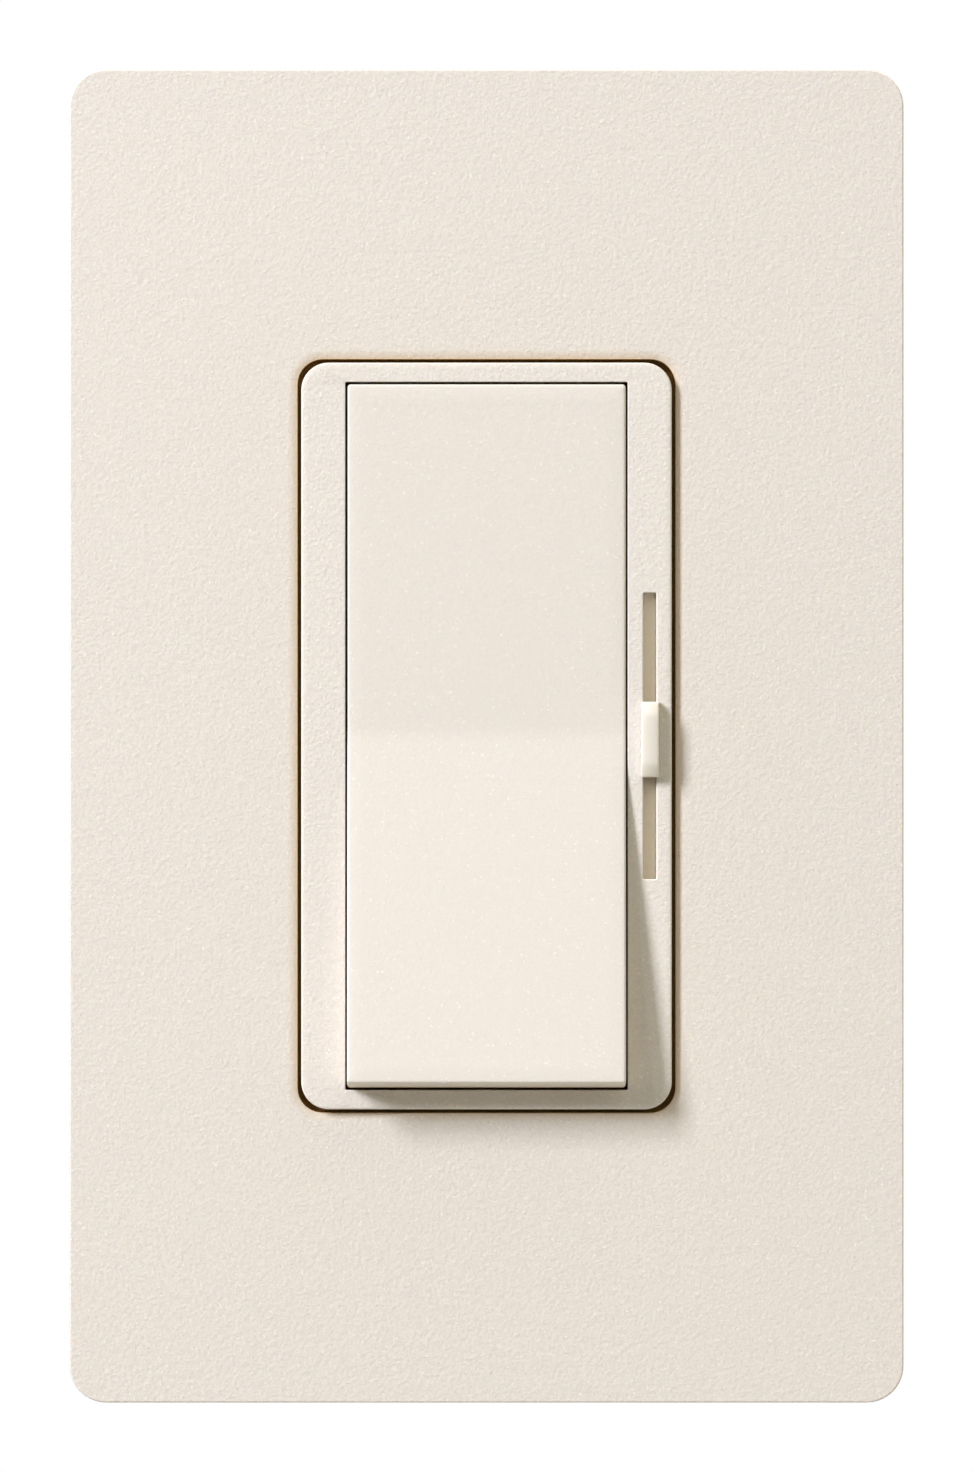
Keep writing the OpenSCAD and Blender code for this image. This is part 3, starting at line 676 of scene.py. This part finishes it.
def paddle():
    body = paddle_block(0, 0, 0.3, -2.4)
    cut(body, paddle_block(1.4, 1.8, 0.5, -5))
    rib_x = PADDLE_W / 2 - 0.8
    for s in (-1, 1):
        for y in (10, 20):
            rib = bevelled(block(-rib_x, rib_x, y - 0.5, y + 0.5, -1.5, PADDLE_TOP - 0.9), 0.12)
            turned(rib, math.degrees(PADDLE_HALF), "X")
            add(body, rib if s > 0 else mirrored(rib, "Y"))
    add(body, bevelled(block(-rib_x, rib_x, -0.6, 0.6, -1.5, PADDLE_TOP - 1.2), 0.12),
        rod(2.9, 0, 0, -9.8, PADDLE_TOP - 1.2, 0.2))
    cut(body, lathe([(1.27, -11), (1.27, -9.2), (1.7, -9.1), (1.7, -1.2), (1.5, -1)], 40))
    for t in (-1, 1):
        pin = bar(0.8, 11.6, 13.3, 0, 0, 0.15)
        add(body, pin if t > 0 else mirrored(pin, "X"))
    # The paddle's sides and ends below its face take the unglossed side material, which carries the painted
    # gap shade.
    paint(body, lambda x, y, z: z < PADDLE_TOP + dish(y) - 0.25
          and (abs(x) > PADDLE_W / 2 - 0.05 or abs(y) > PADDLE_END - 0.8))
    moved(body, PADDLE_POSE)
    # Painted shade: the paddle's sides take a little of the gap's tan brown below the bezel face.
    paint_gap_shade(body, lambda x, y, z: 0.3 * ramp(BEZEL_Z - z, 0.15, 0.5))
    return finished(body, "paddle_shell", "rocking_paddle", ["paddle"],
                    [paddle_plastic, paddle_sides], 28)


# ---------------------------------------------------------------- slide control
def slider_knob():
    """A low bar with sloping ends: the slopes run softly into a face that is slightly crowned across."""
    z0, z1, half, w, edge = BEZEL_Z + 0.1, BEZEL_Z + KNOB_OUT, KNOB_H / 2, KNOB_W / 2, 0.13
    stations = ([half - 1.05 + k * 0.1 for k in range(-9, 10)]
                + [half - e for e in (0.11, 0.07, 0.04, 0.015, 0)])
    stations = [-y for y in reversed(stations)] + [-1.2, 0, 1.2] + stations
    verts = []
    for y in sorted(stations):
        past, near = abs(y) - (half - 1.05), ramp(abs(y), half - 0.15, half)
        top = z1 - 0.42 * (math.hypot(past, 0.35) + past) / 2 - 0.15 * (1 - math.sqrt(1 - near * near))
        side = [(w, z0), (w, (z0 + top - edge) / 2)]
        side += [(w - d, top - down - 0.09 * (1 - d / w) ** 2) for d, down in arc(edge, 0, 90, 5)]
        side += [(x, top - 0.09 * (x / w) ** 2) for x in (0.5, 0.35, 0.18)]
        verts += [(x, y, z) for x, z in side] + [(0, y, top)] + [(-x, y, z) for x, z in reversed(side)]
    n, count = len(verts) // len(stations), len(stations)
    faces = [(a * n + i, (a + 1) * n + i, (a + 1) * n + (i + 1) % n, a * n + (i + 1) % n)
             for a in range(count - 1) for i in range(n)]
    cap = solid("cap", verts, faces + [tuple(range(n)), tuple(reversed(range(n * count - n, n * count)))])
    stem = bevelled(block(-0.45, 0.45, -2.6, 2.6, 5, z0 + 0.3), 0.08)
    foot = bevelled(block(-0.22, 0.22, -1.4, 1.4, 3.6, 5.1), 0.05)
    add(cap, stem, foot)
    shift(cap, SLOT_X, KNOB_Y)
    return finished(cap, "slide_knob", "slider", ["slider_knob"], knob_plastic)


# ---------------------------------------------------------------- fasteners
THREAD_DEPTH, THREAD_PITCH = 0.33, 0.794


def shank(low, high, root, crest, pitch):
    """A rod with a real helical thread and a short taper at its tip."""
    steps, rows_per_turn, tip = 28, 8, 0.8
    count = max(2, round((high - low) / pitch * rows_per_turn))
    rings = []
    for k in range(count + 1):
        z = low + (high - low) * k / count
        fade = min(1.0, (z - low) / tip, (high - z) / (0.5 * pitch) + 0.001)
        points = []
        for i in range(steps):
            a = 2 * math.pi * i / steps
            phase = (z / pitch - i / steps) % 1.0
            ridge = 1 - abs(2 * phase - 1)
            profile = min(1.0, max(0.0, (ridge - 0.12) / 0.74))
            r = root + (crest - root) * profile * max(fade, 0.0) - 0.35 * max(0.0, 1 - (z - low) / tip) * root
            points.append((r * math.cos(a), r * math.sin(a), z))
        rings.append(points)
    return loft(rings)


def pan_head(r, thick, base):
    """A low domed head on z = base."""
    profile = [(r - 0.15, base), (r, base + 0.15), (r, base + thick * 0.45)]
    for i in range(1, 8):
        a = math.radians(90 * i / 7)
        profile.append((r * (0.45 + 0.55 * math.cos(a)), base + thick * (0.45 + 0.55 * math.sin(a))))
    return lathe(profile, 56)


def slot_tool(width, depth, top, turn):
    tool = bevelled(block(-5, 5, -width / 2, width / 2, top - depth, top + 1), 0.08)
    return turned(tool, turn, "Z")


def screw(head_r, head_t, base, low, crest, turn, slot=1.0, neck=None, cross=False):
    """A slotted or cross-head screw along z, its head facing +z."""
    head = pan_head(head_r, head_t, base)
    top = base + head_t
    if cross:
        for k in (0, 90):
            cut(head, turned(bevelled(block(-1.6, 1.6, -0.4, 0.4, top - 0.95, top + 1), 0.12), turn + k, "Z"))
    else:
        cut(head, slot_tool(slot, head_t * 0.52, top, turn))
    if neck:
        add(head, rod(neck[0], 0, 0, neck[1] - 0.2, base + 0.3, 0.0, 28))
    return join(head, shank(low, neck[1] if neck else base + 0.1, crest - THREAD_DEPTH, crest, THREAD_PITCH))


def many(make, places, turns):
    """Copies of one screw at several places, each turned a little differently."""
    out = []
    for (x, y), turn in zip(places, turns):
        out.append(shift(make(turn), x, y))
    return join(out[0], *out[1:])


def fasteners():
    box = many(lambda turn: screw(3.4, 1.8, YOKE_T, -19.4, SCREW_R, turn, neck=(1.5, -0.5)),
               [(0, BOX_Y), (0, -BOX_Y)], (84, 97))
    finished(box, "box_screw_pair", "frame", ["box_screws"], zinc)
    plate = many(lambda turn: screw(2.9, 1.5, YOKE_T + 2, -5, SCREW_R, turn, 0.9),
                 [(0, ADAPTER_Y), (0, -ADAPTER_Y)], (12, -20))
    finished(plate, "adapter_screw_pair", "frame", ["adapter_screws"], zinc)

    def side(y, turn):
        return shift(turned(screw(3.4, 1.9, 0.03, -4.97, SCREW_R, turn), 90, "Y"), 20, y, TERM_Z)

    left = turned(side(0, 35), 180, "Z")
    finished(join(side(9, 70), side(-9, 8), left), "terminal_screw_set", "frame", ["terminal_screws"],
             screw_brass)
    ground = shift(turned(screw(3.3, 1.9, 0.02, -3.7, SCREW_R, 25), 90, "X"), -16, -38.92, -4.6)
    finished(ground, "ground_screw_green", "frame", ["ground_screw"], green_metal)

    def case(turn):
        return mirrored(screw(2.4, 1.5, HOUSING_D - 1.8, -(YOKE_T - 0.2), 1.4, turn, cross=True), "Z")

    places = [(sx * CASE_X, sy * CASE_Y) for sx in (-1, 1) for sy in (-1, 1)]
    finished(many(case, places, (10, 55, 75, 30)), "housing_screw_set", "frame", ["housing_screws"],
             zinc)


# ---------------------------------------------------------------- spring, plunger, coil and small parts
def plunger_and_spring():
    coils, low, high, r, wire = 7.5, -8.17, -1.03, 1.3, 0.17
    count = int(coils * 20)
    path = []
    for k in range(count + 1):
        t = k / count
        dense = t + 0.055 * math.sin(2 * math.pi * t)
        a = 2 * math.pi * coils * t
        path.append((r * math.cos(a), r * math.sin(a), low + wire + (high - low - 2 * wire) * dense))
    spring = moved(tube(path, wire, 10), PADDLE_POSE)
    finished(spring, "plunger_coil", "rocking_paddle", ["plunger_spring"], steel)
    profile = [(1.2 * math.sin(math.radians(a)), -12 - 1.2 * math.cos(math.radians(a)))
               for a in range(4, 91, 8)]
    profile += [(1.2, -9.14), (1.52, -9.14), (1.62, -9.04), (1.62, -8.3), (1.52, -8.2), (0.8, -8.2),
                (0.8, -5.2), (0.65, -5.0)]
    pin = moved(lathe(profile, 40), PADDLE_POSE)
    finished(pin, "plunger_pin", "spring_plunger", ["plunger"], nylon)


def choke():
    cx, cy, low, high, inner, outer = -9.5, -20.4, -20.9, -13.9, 4.2, 7.4
    bevel = 0.7
    section = []
    for sx, sz, start in ((outer - bevel, high - bevel, 0), (inner + bevel, high - bevel, 90),
                          (inner + bevel, low + bevel, 180), (outer - bevel, low + bevel, 270)):
        for i in range(5):
            a = math.radians(start + 90 * i / 4)
            section.append((sx + bevel * math.cos(a), sz + bevel * math.sin(a)))
    steps, n = 56, len(section)
    verts = [(r * math.cos(2 * math.pi * k / steps), r * math.sin(2 * math.pi * k / steps), z)
             for k in range(steps) for r, z in section]
    faces = [(k * n + i, (k + 1) % steps * n + i, (k + 1) % steps * n + (i + 1) % n, k * n + (i + 1) % n)
             for k in range(steps) for i in range(n)]
    core = shift(solid("core", verts, faces), cx, cy)
    core.data.flip_normals()
    finished(core, "choke_ring", "frame", ["choke_core"], core_paint)
    wire, turns, per, squareness = 0.36, 26, 24, 0.34
    gap = wire + 0.03
    loop = []
    half_r, half_z = (outer - inner) / 2 + gap, (high - low) / 2 + gap
    mid_r, mid_z = (outer + inner) / 2, (high + low) / 2
    for k in range(turns * per + 1):
        a = 2 * math.pi * (k % per) / per
        c, s = math.cos(a), math.sin(a)
        r = mid_r + half_r * math.copysign(abs(c) ** squareness, c)
        z = mid_z + half_z * math.copysign(abs(s) ** squareness, s)
        around = math.radians(18 + 324 * k / (turns * per))
        loop.append((r * math.cos(around), r * math.sin(around), z))
    wound = shift(tube(loop, wire, 8), cx, cy)
    finished(wound, "choke_wire", "frame", ["choke_winding"], copper, 60)


def components():
    filt = join(bevelled(block(-18.4, -6.4, 15, 24.5, -21.98, -11.38), 1.0, 4),
                *[rod(0.3, x, 19.75, LEAD_TIP, -21.5, 0.08, 14) for x in (-16, -8.8)])
    paint(filt, lambda x, y, z: z < BOARD_TOP)
    finished(filt, "filter_capacitor_body", "frame", ["filter_capacitor"],
             [red_resin, tinned])
    timing = join(bevelled(block(8, 15.2, -25.4, -21, -21.98, -14.98), 1.2, 4),
                  *[rod(0.3, x, -23.2, LEAD_TIP, -21.5, 0.08, 14) for x in (9.2, 14)])
    paint(timing, lambda x, y, z: z < BOARD_TOP)
    finished(timing, "timing_capacitor_body", "frame", ["timing_capacitor"],
             [blue_resin, tinned])

    def axial(y, z, radius, half, wire, centre, reach, bands=()):
        """A small part lying along x, with its two bent leads."""
        profile = [(wire, -half - 0.02), (radius * 0.75, -half), (radius, -half + 0.35),
                   (radius, -half + 1.1), (radius * 0.86, -half + 1.35)]
        profile += [(radius * 0.86, x) for x in bands]
        profile += [(radius * 0.86, half - 1.35), (radius, half - 1.1), (radius, half - 0.35),
                    (radius * 0.75, half), (wire, half + 0.02)]
        body = shift(turned(lathe(profile, 24), 90, "Y"), centre, y, z)
        bend = 0.6
        path = [(centre - reach, y, LEAD_TIP), (centre - reach, y, z - bend)]
        path += [(centre - reach + bend * (1 - math.cos(a)), y, z - bend + bend * math.sin(a))
                 for a in (math.radians(22.5 * i) for i in range(1, 5))]
        path += [(centre + reach - bend * (1 - math.cos(a)), y, z - bend + bend * math.sin(a))
                 for a in (math.radians(22.5 * i) for i in range(4, 0, -1))]
        path += [(centre + reach, y, z - bend), (centre + reach, y, LEAD_TIP)]
        return join(body, tube(path, wire, 12))

    bands = (-1.45, -0.9, -0.4, 0.15, 0.65, 1.2)
    resistors = join(*[axial(y, -20.6, 1.15, 3.1, 0.3, 10, 5, bands) for y in (16, 22.6, 25.6)])
    paint(resistors, lambda x, y, z: abs(x - 10) > 3.05 or z < BOARD_TOP)
    for k in range(3):
        paint(resistors, lambda x, y, z: bands[2 * k] < x - 10 < bands[2 * k + 1] and z > BOARD_TOP, k + 2)
    finished(resistors, "resistor_set", "frame", ["resistors"],
             [resistor_paint, tinned, *band_paint])
    part = axial(-15.6, -20.8, 0.95, 2, 0.28, 8, 3.5)
    paint(part, lambda x, y, z: abs(x - 8) > 1.95 or z < BOARD_TOP)
    finished(part, "diac_body", "frame", ["diac"], [glass, tinned])


def carried_over():
    """CAD shapes that are right as they are, with their edges broken and their own finish."""
    plain = (
        ("wallplate_adapter", "frame", "almond_adapter", adapter_plastic, 0.15),
        ("yoke", "frame", "sheet_aluminium", aluminium, 0.12),
        ("screw_retainers", "frame", "fibre_board", fibre, 0.05),
        ("dust_shutter", "slider", "almond_shutter", shutter_plastic, 0.08),
        ("slider_carrier", "slider", "dark_acetal", acetal, 0.12),
        ("pot_wiper", "slider", "phosphor_bronze", bronze, 0.06),
        ("pot_body", "frame", "black_plastic", black_plastic, 0.2),
        ("pot_track", "frame", "carbon_track", carbon, 0.03),
        ("pot_pins", "frame", "tinned_metal", tinned, 0.08),
        ("pcb", "frame", "circuit_board", board, 0.08),
        ("triac_insulator", "frame", "insulator_film", film, 0.04),
        ("triac_rivet", "frame", "rivet_aluminium", rivet_metal, 0.2),
        ("contact_rocker", "switch_rocker", "contact_brass", brass, 0.12),
        ("rocker_contacts", "switch_rocker", "contact_silver", silver, 0.06),
        ("fixed_contacts", "frame", "contact_silver", silver, 0.1),
        ("common_cradle", "frame", "contact_brass", brass, 0.1),
        ("traveller_strips", "frame", "contact_brass", brass, 0.1),
        ("switch_base", "frame", "phenolic_black", phenolic, 0.25),
        ("rear_housing", "frame", "phenolic_black", phenolic, 0.35),
    )
    for node, body, slot, material, width in plain:
        finished(from_node(node, width), node + "_piece", body, [node], material)
    triac = from_node("triac", 0.12)
    paint(triac, lambda x, y, z: y > 14.25 or y < 5.05)
    finished(triac, "triac_package", "frame", ["triac"], [epoxy, tinned])


# ---------------------------------------------------------------- studio
KEY_POWER, BACK_POWER, SPOT_POWER = 129, 18, 29
DAYLIGHT = (0.985, 1.0, 1.045)
FILL_FROM, FILL_COLOUR = (0.70, 0.0, 1.0), (1.0, 0.955, 0.76, 1)
EYE_DISTANCE, SEEN_WIDTH = 1.2, 0.1318


def area_light(name, place, size, power, rotation, colour):
    data = bpy.data.lights.new(name, "AREA")
    data.shape, data.size, data.size_y, data.energy = "RECTANGLE", size[0], size[1], power
    data.color = colour
    lamp = bpy.data.objects.new(name, data)
    lamp.location, lamp.rotation_euler = place, rotation
    lamp.visible_camera = False
    bpy.context.collection.objects.link(lamp)


def studio():
    scene = bpy.context.scene
    scene.view_settings.view_transform = "Standard"
    scene.view_settings.look = "None"
    world = bpy.data.worlds.new("studio")
    world.use_nodes = True
    nodes, links = world.node_tree.nodes, world.node_tree.links
    nodes.clear()
    def new(kind, **inputs):
        made = nodes.new("ShaderNode" + kind)
        for key, value in inputs.items():
            made.inputs[key.replace("_", " ")].default_value = value
        return made

    # the room is a little brighter above and to the right, and warm where it isn't the lamp
    fill = new("Background", Color=FILL_COLOUR)
    white = new("Background", Color=(1, 1, 1, 1), Strength=1.0)
    side = new("VectorMath")
    side.operation = "DOT_PRODUCT"
    side.inputs[1].default_value = FILL_FROM
    level = new("MapRange", From_Max=2.0, To_Min=0.04, To_Max=2.0)
    coords, path, mix, out = (new(k) for k in ("TexCoord", "LightPath", "MixShader", "OutputWorld"))
    links.new(coords.outputs["Generated"], side.inputs[0])
    links.new(side.outputs["Value"], level.inputs["Value"])
    links.new(level.outputs[0], fill.inputs["Strength"])
    links.new(path.outputs["Is Camera Ray"], mix.inputs[0])
    links.new(fill.outputs[0], mix.inputs[1])
    links.new(white.outputs[0], mix.inputs[2])
    links.new(mix.outputs[0], out.inputs[0])
    scene.world = world

    area_light("key", (-1.5, -1.0, 1.13), (0.6, 1.0), KEY_POWER, (math.pi / 2, 0, 0), DAYLIGHT)
    area_light("back", (0.5, 1.4, 0.6), (0.8, 0.8), BACK_POWER, (-math.pi / 2, 0, 0), (1.0, 1.0, 1.0))

    spot = bpy.data.lights.new("front", "SPOT")
    spot.energy, spot.color = SPOT_POWER, DAYLIGHT
    spot.spot_size, spot.spot_blend, spot.shadow_soft_size = math.radians(5.9), 1.0, 0.12
    lamp = bpy.data.objects.new("front", spot)
    lamp.location = (-0.9, -1.1, 0.7)
    lamp.rotation_euler = (Vector((0.038, 0.0, 0.013)) - lamp.location).to_track_quat("-Z", "Y").to_euler()
    lamp.visible_camera = False
    bpy.context.collection.objects.link(lamp)

    floor_z, half = -0.50, 0.60
    floor = solid("studio_floor", [(-half, -half, floor_z), (half, -half, floor_z), (half, half, floor_z),
                                   (-half, half, floor_z)], [(0, 1, 2, 3)])
    paper = Shade("floor_paper", 0.9)
    fibres = paper.noise(1.5, 4.0, 0.6)
    blend = paper.remap(fibres, 0.3, 0.7, 0, 1)
    paper.set(Base_Color=paper.mix(blend, (0.58, 0.565, 0.53), (0.55, 0.535, 0.50)))
    floor.data.materials.append(paper.material)

    camera = bpy.data.cameras.new("camera")
    camera.sensor_width = 36
    camera.lens = camera.sensor_width * EYE_DISTANCE / SEEN_WIDTH
    camera.clip_start, camera.clip_end = 0.05, 20
    eye = bpy.data.objects.new("camera", camera)
    eye.location = (0.0, -EYE_DISTANCE - 0.0076, 0.0)
    eye.rotation_euler = (math.pi / 2, 0, 0)
    bpy.context.collection.objects.link(eye)
    scene.camera = eye


studio()
wallplate()
bezel()
paddle()
slider_knob()
fasteners()
plunger_and_spring()
choke()
components()
carried_over()
